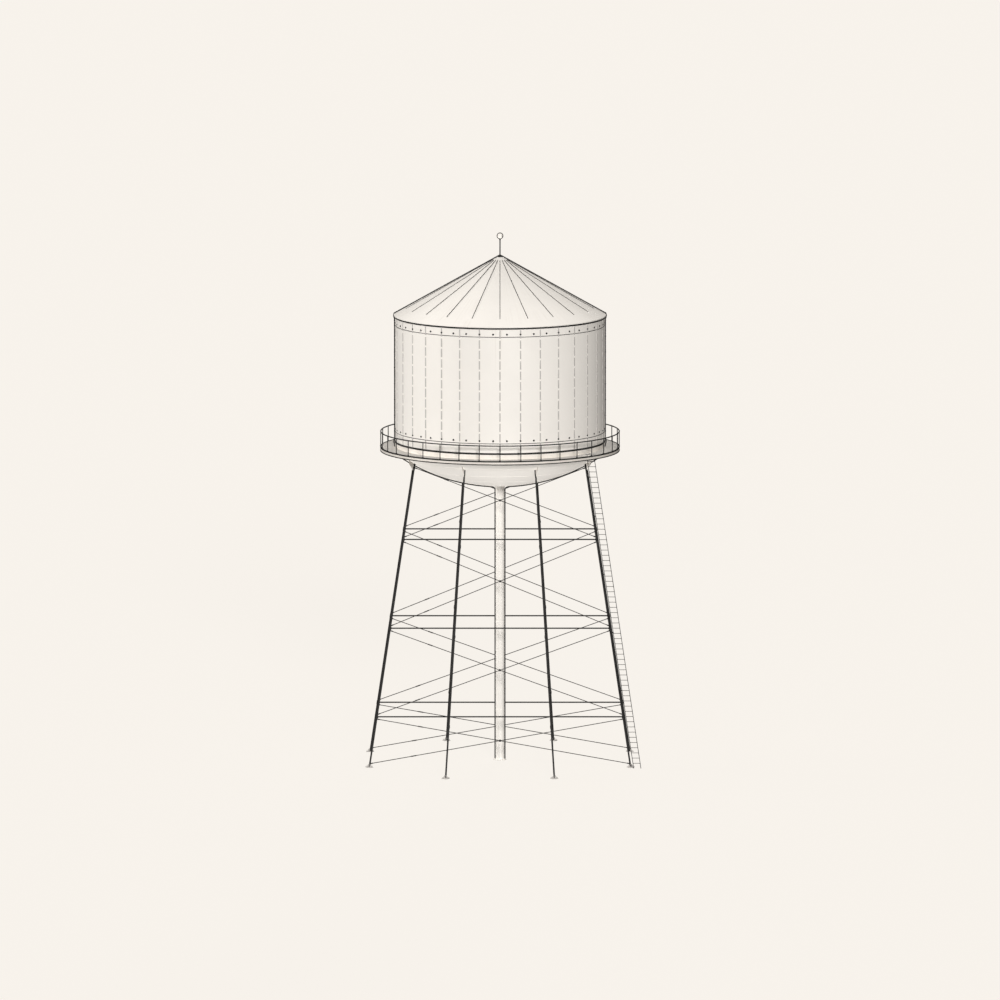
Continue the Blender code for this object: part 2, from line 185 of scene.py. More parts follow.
class TowerColours(bpy.types.PropertyGroup):
    """The tower's paints."""
    tank: FloatVectorProperty(name="Tank Cream", default=(0.80, 0.762, 0.713), subtype="COLOR",
                              description="Paint of the tank, roof and riser")
    stain: FloatVectorProperty(name="Rain Stain", default=(0.52, 0.46, 0.39), subtype="COLOR",
                               description="Where rain has run off a lap")
    charcoal: FloatVectorProperty(name="Charcoal", default=(0.017, 0.016, 0.015), subtype="COLOR",
                                  description="Paint of the legs, struts, rings and railing")
    rod_grey: FloatVectorProperty(name="Rod Grey", default=(0.03, 0.028, 0.026), subtype="COLOR",
                                  description="Paint of the tie rods and the ladder")
    seam_grey: FloatVectorProperty(name="Seam Grey", default=(0.48, 0.455, 0.43), subtype="COLOR",
                                   description="Weld and sealant along the wall's seams")
    rust: FloatVectorProperty(name="Rust", default=(0.16, 0.07, 0.035), subtype="COLOR",
                              description="Specks where the paint is worn through")
    paper: FloatVectorProperty(name="Paper White", default=(0.921, 0.879, 0.823), subtype="COLOR",
                               description="The plain floor and background")


def sizes():
    return bpy.context.scene.tower_sizes


def colours():
    return bpy.context.scene.tower_colours


# Modelling helpers

def draw_line(points):
    """Starts a mesh as one corner and extrudes it from point to point. It stays in edit mode."""
    bpy.ops.object.select_all(action="DESELECT")
    bpy.ops.mesh.primitive_plane_add(size=1.0, enter_editmode=True, location=points[0])
    bpy.ops.mesh.merge(type="CENTER")
    for near, far in zip(points, points[1:]):
        bpy.ops.mesh.extrude_vertices_move(TRANSFORM_OT_translate={"value": Vector(far) - Vector(near)})
    bpy.ops.mesh.select_all(action="SELECT")


def close_shape(name):
    """Merges what lies together, turns the faces outwards, and leaves the object at the origin."""
    bpy.ops.mesh.select_all(action="SELECT")
    bpy.ops.mesh.remove_doubles(threshold=MERGE_DISTANCE)
    bpy.ops.mesh.normals_make_consistent(inside=False)
    bpy.ops.object.mode_set(mode="OBJECT")
    bpy.ops.object.transform_apply(location=True, rotation=True, scale=True)
    item = bpy.context.object
    item.name = name
    return item


def closed_again(item):
    """Closes a mirrored shape once more, so that its faces point outwards."""
    picked(item)
    bpy.ops.object.mode_set(mode="EDIT")
    return close_shape(item.name)


def standing(line):
    """(radius, height) points as places above the X axis."""
    return [Vector((radius, 0.0, height)) for radius, height in line]


def turned(name, outline, steps, ring=False):
    """Spins a line of (radius, height) points about Z. A ring's section is closed first."""
    points = standing(outline)
    draw_line(points + points[:1] if ring else points)
    bpy.ops.mesh.remove_doubles(threshold=MERGE_DISTANCE)
    bpy.ops.mesh.select_all(action="SELECT")
    bpy.ops.mesh.spin(steps=steps, angle=math.tau, center=(0, 0, 0), axis=(0, 0, 1))
    return close_shape(name)


def band(name, section, steps=ROUND_STEPS):
    """A ring about the tower's axis, from its section."""
    return turned(name, section, steps, ring=True)


def oblong(inner, outer, low, high, ease=0.0):
    """A ring's section with square inner corners and outer corners that may be eased."""
    if not ease:
        return [(inner, low), (outer, low), (outer, high), (inner, high)]
    return [(inner, low), (outer - ease, low), (outer, low + ease), (outer, high - ease),
            (outer - ease, high), (inner, high)]


def block(name, low, high, bevel):
    """A plate or bar between two corners, with eased edges."""
    low, high = Vector(low), Vector(high)
    bpy.ops.object.select_all(action="DESELECT")
    bpy.ops.mesh.primitive_cube_add(size=1.0, enter_editmode=True, location=(low + high) / 2,
                                    scale=high - low)
    bpy.ops.mesh.select_all(action="SELECT")
    bpy.ops.mesh.bevel(offset=bevel, segments=2, affect="EDGES")
    return close_shape(name)


def fin(name, outline, thickness):
    """A flat plate from a closed line of (radius, height) points, with its thickness along Y."""
    points = [Vector((radius, -thickness / 2, height)) for radius, height in outline]
    draw_line(points + points[:1])
    bpy.ops.mesh.remove_doubles(threshold=MERGE_DISTANCE)
    bpy.ops.mesh.select_all(action="SELECT")
    bpy.ops.mesh.edge_face_add()
    bpy.ops.mesh.extrude_region_move(TRANSFORM_OT_translate={"value": (0.0, thickness, 0.0)})
    return close_shape(name)


def tube_along(name, points, radius):
    """A round tube along a line of points."""
    draw_line(points)
    bpy.ops.object.mode_set(mode="OBJECT")
    bpy.ops.object.convert(target="CURVE")
    line = bpy.context.object.data
    line.bevel_depth = radius
    line.bevel_resolution = 3
    line.use_fill_caps = True
    bpy.ops.object.convert(target="MESH")
    bpy.ops.object.mode_set(mode="EDIT")
    return close_shape(name)


def picked(item):
    """Makes a piece the only selected one."""
    bpy.ops.object.select_all(action="DESELECT")
    item.select_set(True)
    bpy.context.view_layer.objects.active = item


def moved(item, matrix):
    item.data.transform(matrix)
    item.data.update()
    return item


def shifted(item, x, y, z):
    return moved(item, Matrix.Translation((x, y, z)))


def copied(item, matrix):
    twin = item.copy()
    twin.data = item.data.copy()
    bpy.context.collection.objects.link(twin)
    return moved(twin, matrix)


def joined(name, items):
    picked(items[0])
    for item in items:
        item.select_set(True)
    if len(items) > 1:
        bpy.ops.object.join()
    items[0].name = name
    return items[0]


def round_z(angle):
    return Matrix.Rotation(angle, 4, "Z")


def ring_of(name, item, count, start):
    """Copies of a piece that was made at +X, evenly turned about Z from a start angle."""
    copies = [copied(item, round_z(start + math.tau * index / count)) for index in range(1, count)]
    return joined(name, [moved(item, round_z(start))] + copies)


def lay(item, low, high):
    """Lays a piece that was made up the Z axis from the origin along the line between two points."""
    direction = Vector(high) - Vector(low)
    return moved(item, Matrix.Translation(low) @ direction.to_track_quat("Z", "Y").to_matrix().to_4x4())


def bar(name, low, high, start, finish, steps):
    """A turned bar between two points. Each end has its own (radius, distance from that end) points."""
    length = (high - low).length
    far_end = [(radius, length - back) for radius, back in reversed(finish)]
    return lay(turned(name, [(0.0, 0.0), *start, *far_end, (0.0, length)], steps), low, high)


def collars(radius, proud, half, places):
    """Outline points of the collars round a tube, each half a length above and below its place."""
    return [(radius + grow, place + shift) for place in places
            for shift, grow in ((-half, 0.0), (-half, proud), (half, proud), (half, 0.0))]


def trimmed(low, high):
    """The ends of a brace between two legs, brought from their middles to just inside their walls."""
    shift = (high - low).normalized() * (sizes().leg_radius - 0.01)
    return low + shift, high - shift


def cut(item, cutter):
    """Takes one solid out of another."""
    modifier = item.modifiers.new("Cut", "BOOLEAN")
    modifier.operation = "DIFFERENCE"
    modifier.object = cutter
    picked(item)
    bpy.ops.object.modifier_apply(modifier=modifier.name)
    bpy.data.objects.remove(cutter, do_unlink=True)
    return item


def finished(item, paint, slot, *nodes, smooth=35):
    """Shades, paints and seats a piece, which may stand for nodes of the frame."""
    picked(item)
    bpy.ops.object.shade_smooth_by_angle(angle=math.radians(smooth))
    item.data.name = item.name
    item.data.materials.clear()
    item.data.materials.append(bpy.data.materials.get(paint) or PAINTS[paint](paint))
    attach(item, "root")
    if nodes:
        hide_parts(*nodes)
    item.select_set(False)


# Small hardware

def bolt(radius, height):
    """A six-sided bolt head or nut, with its seat at the origin and its top up Z."""
    return turned("bolt", [(0.0, 0.0), (radius, 0.0), (radius, 0.8 * height), (0.85 * radius, height),
                           (0.0, height)], 6)


def dome(radius, height):
    """A rivet's head, with its seat at the origin and its top up Z."""
    steps = 4
    curve = [(radius * math.cos(turn), height * math.sin(turn))
             for turn in (math.pi / 2 * step / steps for step in range(steps))]
    return turned("dome", curve + [(0.0, height)], 12)


def facing_out(item, radius, z):
    """Turns a small piece from up Z to point away from the Z axis, on the +X side."""
    return moved(item, Matrix.Translation((radius, 0.0, z)) @ Matrix.Rotation(math.pi / 2, 4, "Y"))


# Shader helpers

def feed(tree, socket, value):
    """Links an output to a socket, or gives the socket a number or a colour."""
    if isinstance(value, bpy.types.NodeSocket):
        tree.links.new(value, socket)
    elif isinstance(value, tuple):
        socket.default_value = (*value, 1.0)
    else:
        socket.default_value = value


def noise(tree, position, scale, detail):
    node = tree.nodes.new("ShaderNodeTexNoise")
    for label, value in (("Vector", position), ("Scale", scale), ("Detail", detail), ("Roughness", 0.6)):
        feed(tree, node.inputs[label], value)
    return node.outputs["Fac"]


def maths(tree, operation, first, second, clamp=False):
    node = tree.nodes.new("ShaderNodeMath")
    node.operation = operation
    node.use_clamp = clamp
    feed(tree, node.inputs[0], first)
    feed(tree, node.inputs[1], second)
    return node.outputs[0]


def product(tree, first, *others):
    for other in others:
        first = maths(tree, "MULTIPLY", first, other)
    return first


def spread(tree, value, low, high, new_low=0.0, new_high=1.0):
    """Maps a value's range onto another, with soft ends."""
    node = tree.nodes.new("ShaderNodeMapRange")
    node.interpolation_type = "SMOOTHSTEP"
    for label, number in (("Value", value), ("From Min", low), ("From Max", high), ("To Min", new_low),
                          ("To Max", new_high)):
        feed(tree, node.inputs[label], number)
    return node.outputs["Result"]


def mapped(tree, position, scale, turn=0.0, shift=0.0):
    """Scales a position, after a turn about Z and a shift across it."""
    node = tree.nodes.new("ShaderNodeMapping")
    node.inputs["Scale"].default_value = scale
    node.inputs["Rotation"].default_value = (0.0, 0.0, turn)
    node.inputs["Location"].default_value = (shift, shift, 0.0)
    tree.links.new(position, node.inputs["Vector"])
    return node.outputs["Vector"]


def height_of(tree, position):
    node = tree.nodes.new("ShaderNodeSeparateXYZ")
    tree.links.new(position, node.inputs[0])
    return node.outputs["Z"]


def blended(tree, amount, first, second):
    node = tree.nodes.new("ShaderNodeMix")
    node.data_type = "RGBA"
    for index, value in ((0, amount), (6, first), (7, second)):
        feed(tree, node.inputs[index], value)
    return node.outputs[2]


def relief(tree, height, strength, distance, under=None):
    """A bumped normal, which may lie over another one."""
    node = tree.nodes.new("ShaderNodeBump")
    node.inputs["Strength"].default_value = strength
    node.inputs["Distance"].default_value = distance
    tree.links.new(height, node.inputs["Height"])
    if under:
        tree.links.new(under, node.inputs["Normal"])
    return node.outputs["Normal"]


# Shared shader groups

def new_group(name, outputs, **inputs):
    """Starts a group with a Position, inputs with these default values, and outputs with these names."""
    group = bpy.data.node_groups.new(name, "ShaderNodeTree")
    group.interface.new_socket(name="Position", in_out="INPUT", socket_type="NodeSocketVector")
    for label, value in inputs.items():
        kind = "NodeSocketColor" if isinstance(value, tuple) else "NodeSocketFloat"
        socket = group.interface.new_socket(name=label.replace("_", " "), in_out="INPUT", socket_type=kind)
        socket.default_value = value
    for label in outputs:
        kind = "NodeSocketColor" if label == "Colour" else "NodeSocketFloat"
        group.interface.new_socket(name=label, in_out="OUTPUT", socket_type=kind)
    return group, group.nodes.new("NodeGroupInput").outputs, group.nodes.new("NodeGroupOutput").inputs


def paint_film_group(name):
    """Brushed and sprayed paint: broad fading, a fine grain, and the ripple of a hand-painted film."""
    group, given, out = new_group(name, ("Colour", "Roughness", "Height"), Paint=(0.8, 0.8, 0.8, 1.0),
                                  Faded=(1.0, 1.0, 1.0, 1.0), Patch_Scale=0.5, Grain_Scale=60.0,
                                  Roughness=0.5)
    patches = spread(group, noise(group, given["Position"], given["Patch Scale"], 4.0), 0.35, 0.70)
    grain = noise(group, given["Position"], given["Grain Scale"], 3.0)
    broad = blended(group, product(group, patches, 0.6), given["Paint"], given["Faded"])
    fine = blended(group, spread(group, grain, 0.35, 0.75, 0.0, 0.35), broad, given["Faded"])
    group.links.new(fine, out["Colour"])
    group.links.new(maths(group, "ADD", given["Roughness"], product(group, patches, 0.12)), out["Roughness"])
    group.links.new(grain, out["Height"])
    return group


def rain_run_group(name):
    """Narrow streaks that start at a level and fade out below it."""
    group, given, out = new_group(name, ("Mask",), Start_Z=0.0, Length=1.0, Amount=1.0)
    position = given["Position"]
    narrow = spread(group, noise(group, mapped(group, position, (7.0, 7.0, 0.10)), 1.0, 4.0), 0.52, 0.74)
    broad = spread(group, noise(group, mapped(group, position, (1.1, 1.1, 0.05)), 1.0, 2.0), 0.38, 0.66)
    depth = maths(group, "SUBTRACT", given["Start Z"], height_of(group, position))
    share = maths(group, "DIVIDE", depth, given["Length"], clamp=True)
    below = maths(group, "GREATER_THAN", depth, 0.0)
    fade = product(group, maths(group, "SUBTRACT", 1.0, share), below)
    group.links.new(product(group, narrow, broad, fade, given["Amount"]), out["Mask"])
    return group


def slope_run_group(name):
    """Dust streaks that run straight down a cone roof."""
    group, given, out = new_group(name, ("Mask",), Amount=1.0)
    ray = group.nodes.new("ShaderNodeVectorMath")
    ray.operation = "NORMALIZE"
    group.links.new(mapped(group, given["Position"], (1.0, 1.0, 0.0)), ray.inputs[0])
    streaks = spread(group, noise(group, ray.outputs[0], 34.0, 4.0), 0.48, 0.75)
    patches = spread(group, noise(group, given["Position"], 0.7, 3.0), 0.35, 0.70)
    group.links.new(product(group, streaks, patches, given["Amount"]), out["Mask"])
    return group


def rust_speck_group(name):
    """Specks and small blooms where a film of paint is worn through."""
    group, given, out = new_group(name, ("Mask",), Scale=9.0, Amount=1.0)
    blooms = spread(group, noise(group, given["Position"], given["Scale"], 5.0), 0.66, 0.76)
    zones = spread(group, noise(group, given["Position"], 0.8, 2.0), 0.50, 0.70)
    group.links.new(product(group, blooms, zones, given["Amount"]), out["Mask"])
    return group


def floor_splash_group(name):
    """Dirt thrown up from a floor, densest at the floor and gone a little above it."""
    group, given, out = new_group(name, ("Mask",), Floor_Z=0.0, Height=0.5, Amount=1.0)
    rise = maths(group, "SUBTRACT", height_of(group, given["Position"]), given["Floor Z"])
    near = spread(group, maths(group, "DIVIDE", rise, given["Height"]), 1.0, 0.2)
    above = maths(group, "GREATER_THAN", rise, -0.3)
    patches = spread(group, noise(group, given["Position"], 2.2, 4.0), 0.30, 0.70, 0.55, 1.0)
    group.links.new(product(group, near, above, patches, given["Amount"]), out["Mask"])
    return group


def tread_plate_group(name):
    """Raised lozenges of a chequered floor plate, in two crossing directions."""
    group, given, out = new_group(name, ("Height",))
    directions = []
    for turn, shift in ((math.pi / 4, 0.0), (-math.pi / 4, 0.5)):
        cells = group.nodes.new("ShaderNodeTexVoronoi")
        cells.voronoi_dimensions = "2D"
        cells.inputs["Scale"].default_value = 1.0
        cells.inputs["Randomness"].default_value = 0.0
        cell_sizes = mapped(group, given["Position"], (10.0, 34.0, 1.0), turn, shift)
        group.links.new(cell_sizes, cells.inputs["Vector"])
        directions.append(spread(group, cells.outputs["Distance"], 0.30, 0.42, 1.0, 0.0))
    group.links.new(maths(group, "MAXIMUM", *directions), out["Height"])
    return group


SHARED_GROUPS = {"Paint Film": paint_film_group, "Rain Runs": rain_run_group, "Slope Runs": slope_run_group,
                 "Rust Specks": rust_speck_group, "Floor Splash": floor_splash_group,
                 "Tread Plate": tread_plate_group}


def placed_group(tree, name, position, **values):
    """Places a shared group, which is built the first time it is asked for, and gives its outputs."""
    node = tree.nodes.new("ShaderNodeGroup")
    node.node_tree = bpy.data.node_groups.get(name) or SHARED_GROUPS[name](name)
    tree.links.new(position, node.inputs["Position"])
    for label, value in values.items():
        feed(tree, node.inputs[label.replace("_", " ")], value)
    return node.outputs


# Paints

def paler(colour, share):
    return tuple(channel + (1.0 - channel) * share for channel in colour)


def darker(colour, share):
    return tuple(channel * (1.0 - share) for channel in colour)


def new_paint(name, paint, faded, roughness, patch_scale, grain_scale, specular, bump, layers=(),
              tread=False):
    """A painted steel finish. A layer holds a shared group, the stain that its mask lays on, and its values.
    With tread, the steel is a chequered floor plate."""
    material = bpy.data.materials.new(name)
    material.use_nodes = True
    tree = material.node_tree
    shader = tree.nodes["Principled BSDF"].inputs
    shader["Specular IOR Level"].default_value = specular
    position = tree.nodes.new("ShaderNodeTexCoord").outputs["Object"]
    film = placed_group(tree, "Paint Film", position, Paint=paint, Faded=faded, Patch_Scale=patch_scale,
                        Grain_Scale=grain_scale, Roughness=roughness)
    normal = relief(tree, film["Height"], bump, distance=0.002)
    if tread:
        lozenges = placed_group(tree, "Tread Plate", position)["Height"]
        normal = relief(tree, lozenges, strength=0.8, distance=0.004, under=normal)
    colour = film["Colour"]
    for group, stain, values in layers:
        colour = blended(tree, placed_group(tree, group, position, **values)["Mask"], colour, tuple(stain))
    tree.links.new(colour, shader["Base Color"])
    tree.links.new(film["Roughness"], shader["Roughness"])
    tree.links.new(normal, shader["Normal"])
    return material


def rust_specks(scale, amount, darkening=0.0):
    return "Rust Specks", darker(colours().rust, darkening), {"Scale": scale, "Amount": amount}


def tank_paint(name):
    paint, stain = tuple(colours().tank), colours().stain
    layers = [("Rain Runs", stain, {"Start_Z": start, "Length": length, "Amount": amount})
              for start, length, amount in ((SHELL_HIGH_Z - 0.08, 3.4, 0.34), (LOW_LAP_Z, 0.7, 0.30),
                                            (SHELL_LOW_Z, 1.6, 0.42))]
    layers.append(("Floor Splash", stain, {"Floor_Z": DECK_TOP_Z, "Height": 0.42, "Amount": 0.5}))
    layers.append(rust_specks(scale=11.0, amount=0.07))
    return new_paint(name, paint, darker(paint, 0.05), roughness=0.45, patch_scale=0.45, grain_scale=45.0,
                     specular=0.35, bump=0.25, layers=layers)


def roof_paint(name):
    paint = tuple(colours().tank)
    return new_paint(name, paint, darker(paint, 0.06), roughness=0.5, patch_scale=0.6, grain_scale=40.0,
                     specular=0.35, bump=0.3, layers=[("Slope Runs", colours().stain, {"Amount": 0.30})])


def charcoal_paint(name):
    paint = tuple(colours().charcoal)
    return new_paint(name, paint, paler(paint, 0.015), roughness=0.55, patch_scale=1.2, grain_scale=70.0,
                     specular=0.2, bump=0.35, layers=[rust_specks(scale=14.0, amount=0.35, darkening=0.55)])


def rod_paint(name):
    paint = tuple(colours().rod_grey)
    return new_paint(name, paint, paler(paint, 0.02), roughness=0.5, patch_scale=1.5, grain_scale=80.0,
                     specular=0.2, bump=0.3, layers=[rust_specks(scale=18.0, amount=0.4, darkening=0.5)])


def seam_paint(name):
    paint = tuple(colours().seam_grey)
    return new_paint(name, paint, darker(paint, 0.18), roughness=0.6, patch_scale=2.0, grain_scale=90.0,
                     specular=0.25, bump=0.5)


def floor_plate_paint(name):
    paint = darker(colours().tank, 0.30)
    return new_paint(name, paint, darker(paint, 0.2), roughness=0.7, patch_scale=1.4, grain_scale=50.0,
                     specular=0.05, bump=0.3, layers=[rust_specks(scale=8.0, amount=0.35)], tread=True)


CREAM, ROOF_CREAM, CHARCOAL = "Tank Cream Paint", "Roof Cream Paint", "Charcoal Paint"
ROD_GREY, SEAM_GREY, FLOOR_PLATE = "Rod Grey Paint", "Seam Grey", "Floor Plate Paint"
PAINTS = {CREAM: tank_paint, ROOF_CREAM: roof_paint, CHARCOAL: charcoal_paint, ROD_GREY: rod_paint,
          SEAM_GREY: seam_paint, FLOOR_PLATE: floor_plate_paint}


# Places on the tank and frame

def roof_z(radius):
    return SHELL_HIGH_Z + ROOF_EDGE + (EAVE_RADIUS - radius) * ROOF_SLOPE


def bowl_line(offset, knuckle_steps, crown_steps, last_angle=math.pi / 2):
    """(radius, height) points of the dished bottom, from its rim inwards, moved out by an offset."""
    knuckle, crown = sizes().knuckle_radius, sizes().crown_radius
    middle, reach = TANK_RADIUS - knuckle, crown - knuckle
    crown_z = SHELL_LOW_Z + math.sqrt(reach ** 2 - middle ** 2)
    turn = math.acos(middle / reach)
    arcs = [(middle, SHELL_LOW_Z, knuckle + offset, turn * step / knuckle_steps)
            for step in range(knuckle_steps)]
    arcs += [(0.0, crown_z, crown + offset, turn + (last_angle - turn) * step / crown_steps)
             for step in range(crown_steps + 1)]
    return [(max(0.0, x + radius * math.cos(angle)), z - radius * math.sin(angle))
            for x, z, radius, angle in arcs]


def leg_circle_at(z):
    return LEG_CIRCLE + (LEG_CIRCLE_AT_DECK - LEG_CIRCLE) * z / LEG_DECK_Z


def leg_angle(name):
    return math.atan2(LEG_FEET[name].y, LEG_FEET[name].x)


def leg_point(name, z):
    reach, angle = leg_circle_at(z), leg_angle(name)
    return Vector((reach * math.cos(angle), reach * math.sin(angle), z))


def ladder_point(offset, z):
    y = LADDER_Y_AT_GROUND + (LADDER_Y_AT_DECK - LADDER_Y_AT_GROUND) * z / LEG_DECK_Z
    return Vector((leg_point(LADDER_LEG, z).x + offset, y, z))


# Operators

class TOWER_OT_wall(bpy.types.Operator):
    """Builds the tank's lapped wall, its lap beads, stitched seams and rivets"""
    bl_idname = "tower.wall"
    bl_label = "Tank Wall"

    def execute(self, context):
        inside, main, top = TANK_RADIUS - WALL, TANK_RADIUS + LAP, TANK_RADIUS + 2 * LAP
        plates = band("tank_plates", [(inside, SHELL_LOW_Z), (TANK_RADIUS, SHELL_LOW_Z),
                                      (TANK_RADIUS, LOW_LAP_Z), (main, LOW_LAP_Z), (main, HIGH_LAP_Z),
                                      (top, HIGH_LAP_Z), (top, SHELL_HIGH_Z), (inside, SHELL_HIGH_Z)])
        finished(plates, CREAM, "tank_paint", *[f"tank_wall_{side}" for side in BENTS])

        bead, proud, ease = 0.036, 0.012, 0.004
        beads = []
        for z, radius in ((LOW_LAP_Z, TANK_RADIUS), (HIGH_LAP_Z, main)):
            outer = radius + LAP + proud
            beads.append(band("bead", [(radius, z - bead), (outer - ease, z - bead), (outer, z - bead / 2),
                                       (outer - ease, z), (radius, z)]))
        finished(joined("lap_beads", beads), ROD_GREY, "tank_paint")

        dash, gap, width, proud, ease = 0.48, 0.11, 0.078, 0.024, 0.007
        first, last = SHELL_LOW_Z + 0.07, SHELL_HIGH_Z - 0.13
        count = round((last - first) / (dash + gap))
        period = (last - first + gap) / count
        stitch = block("stitch", (TANK_RADIUS - 0.01, -width / 2, first),
                       (TANK_RADIUS + proud, width / 2, first + period - gap), ease)
        copies = [copied(stitch, Matrix.Translation((0, 0, period * step))) for step in range(1, count)]
        seams = ring_of("wall_seams", joined("column", [stitch] + copies), sizes().seam_count, FRONT)
        finished(seams, SEAM_GREY, "tank_paint")

        height, sunk = 0.04, 0.002
        heads = []
        for z, radius in ((LOW_LAP_Z, main), (HIGH_LAP_Z, top)):
            head = facing_out(dome(sizes().rivet_radius, height), radius - sunk, z + RIVET_ABOVE_LAP)
            half_step = math.pi / sizes().rivet_count
            heads.append(ring_of("heads", head, sizes().rivet_count, FRONT + half_step))
        finished(joined("lap_rivets", heads), CHARCOAL, "trim_paint", smooth=60)
        return {"FINISHED"}


class TOWER_OT_bottom(bpy.types.Operator):
    """Builds the dished bottom and its weld lines"""
    bl_idname = "tower.bottom"
    bl_label = "Tank Bottom"

    def execute(self, context):
        outer, inner = bowl_line(0.0, *BOWL_STEPS), bowl_line(-WALL, *BOWL_STEPS)
        dish = turned("tank_dish", outer + inner[::-1], ROUND_STEPS)
        finished(dish, CREAM, "tank_paint", "tank_bottom", smooth=50)

        bead = 0.012
        welds = []
        for radius, z in outer[BOWL_STEPS[0]:-WELD_SPACING:WELD_SPACING]:
            section = [(radius + bead, z), (radius, z + bead), (radius - bead, z), (radius, z - bead)]
            welds.append(band("weld", section, ROUND_STEPS // 2))
        finished(joined("dish_welds", welds), CREAM, "tank_paint", smooth=80)
        return {"FINISHED"}


class TOWER_OT_roof(bpy.types.Operator):
    """Builds the cone roof and its standing seams"""
    bl_idname = "tower.roof"
    bl_label = "Cone Roof"

    def execute(self, context):
        seat, under, ease = TANK_RADIUS - WALL - 0.02, ROOF_FLAT_Z - ROOF_THICKNESS, 0.006
        shoulder = EAVE_RADIUS - 0.008
        sheets = turned("roof_sheets", [
            (0.0, under), (ROOF_FLAT_RADIUS, under), (seat, roof_z(seat) - 2 * ROOF_THICKNESS),
            (seat, SHELL_HIGH_Z), (EAVE_RADIUS - ease, SHELL_HIGH_Z), (EAVE_RADIUS, SHELL_HIGH_Z + ease),
            (EAVE_RADIUS, SHELL_HIGH_Z + ROOF_EDGE - ease), (shoulder, roof_z(shoulder)),
            (ROOF_FLAT_RADIUS, ROOF_FLAT_Z), (0.0, ROOF_FLAT_Z)], ROUND_STEPS)
        finished(sheets, ROOF_CREAM, "roof_paint", "tank_roof")

        start, end, width, height, sunk, ease = 0.43, 5.50, 0.038, 0.024, 0.01, 0.007
        length = (end - start) / math.cos(ROOF_PITCH)
        rib = block("rib", (0.0, -width / 2, -sunk), (length, width / 2, height), ease)
        moved(rib, Matrix.Translation((start, 0.0, roof_z(start))) @ Matrix.Rotation(ROOF_PITCH, 4, "Y"))
        finished(ring_of("roof_seams", rib, sizes().roof_seam_count, FRONT), ROD_GREY, "roof_paint")
        return {"FINISHED"}


class TOWER_OT_rings(bpy.types.Operator):
    """Builds the dark rings under the eave and round the tank's bottom edge"""
    bl_idname = "tower.rings"
    bl_label = "Eave and Bottom Rings"

    def execute(self, context):
        ease, half = 0.012, 0.05
        eave = oblong(TANK_RADIUS + LAP, TANK_RADIUS + 0.062, SHELL_HIGH_Z - 0.095, SHELL_HIGH_Z, ease)
        low = oblong(TANK_RADIUS - 0.01, TANK_RADIUS + 0.052, SHELL_LOW_Z - half, SHELL_LOW_Z + half, ease)
        finished(band("eave_angle_ring", eave), CHARCOAL, "trim_paint", "eave_ring")
        finished(band("bottom_angle_ring", low), CHARCOAL, "trim_paint", "bottom_ring")
        return {"FINISHED"}


class TOWER_OT_finial(bpy.types.Operator):
    """Builds the rod, ball and hoop at the roof's top"""
    bl_idname = "tower.finial"
    bl_label = "Finial"

    def execute(self, context):
        hoop_outer, wire, rod, collar, ball, cap, steps = 0.195, 0.036, 0.036, 0.052, 0.155, 0.09, 10
        ball_z = FINIAL_TOP_Z - hoop_outer
        low_z = ball_z - ball
        curve = [(ball * math.sin(turn), ball_z - ball * math.cos(turn))
                 for turn in (math.pi * step / steps for step in range(1, steps))]
        finial_ball = turned("finial_ball", [(0.0, low_z), *curve, (0.0, ball_z + ball)], 32)
        finished(finial_ball, CREAM, "trim_paint", smooth=80)

        spindle = turned("spindle", [
            (0.0, ROOF_FLAT_Z), (ROOF_FLAT_RADIUS, ROOF_FLAT_Z), (ROOF_FLAT_RADIUS, ROOF_FLAT_Z + 0.012),
            (0.06, ROOF_FLAT_Z + 0.6 * cap), (rod, ROOF_FLAT_Z + cap), (rod, low_z - 0.10),
            (collar, low_z - 0.06), (collar, low_z - 0.03), (rod, low_z), (rod, low_z + 0.02),
            (0.0, low_z + 0.02)], 24)
        bpy.ops.object.select_all(action="DESELECT")
        bpy.ops.mesh.primitive_torus_add(major_radius=hoop_outer - wire, minor_radius=wire,
                                         major_segments=48, minor_segments=10, location=(0.0, 0.0, ball_z),
                                         rotation=(math.pi / 2, 0.0, 0.0))
        bpy.ops.object.transform_apply(location=True, rotation=True, scale=True)
        finial = joined("finial_rod", [spindle, bpy.context.object])
        finished(finial, CHARCOAL, "trim_paint", "finial", smooth=50)
        return {"FINISHED"}


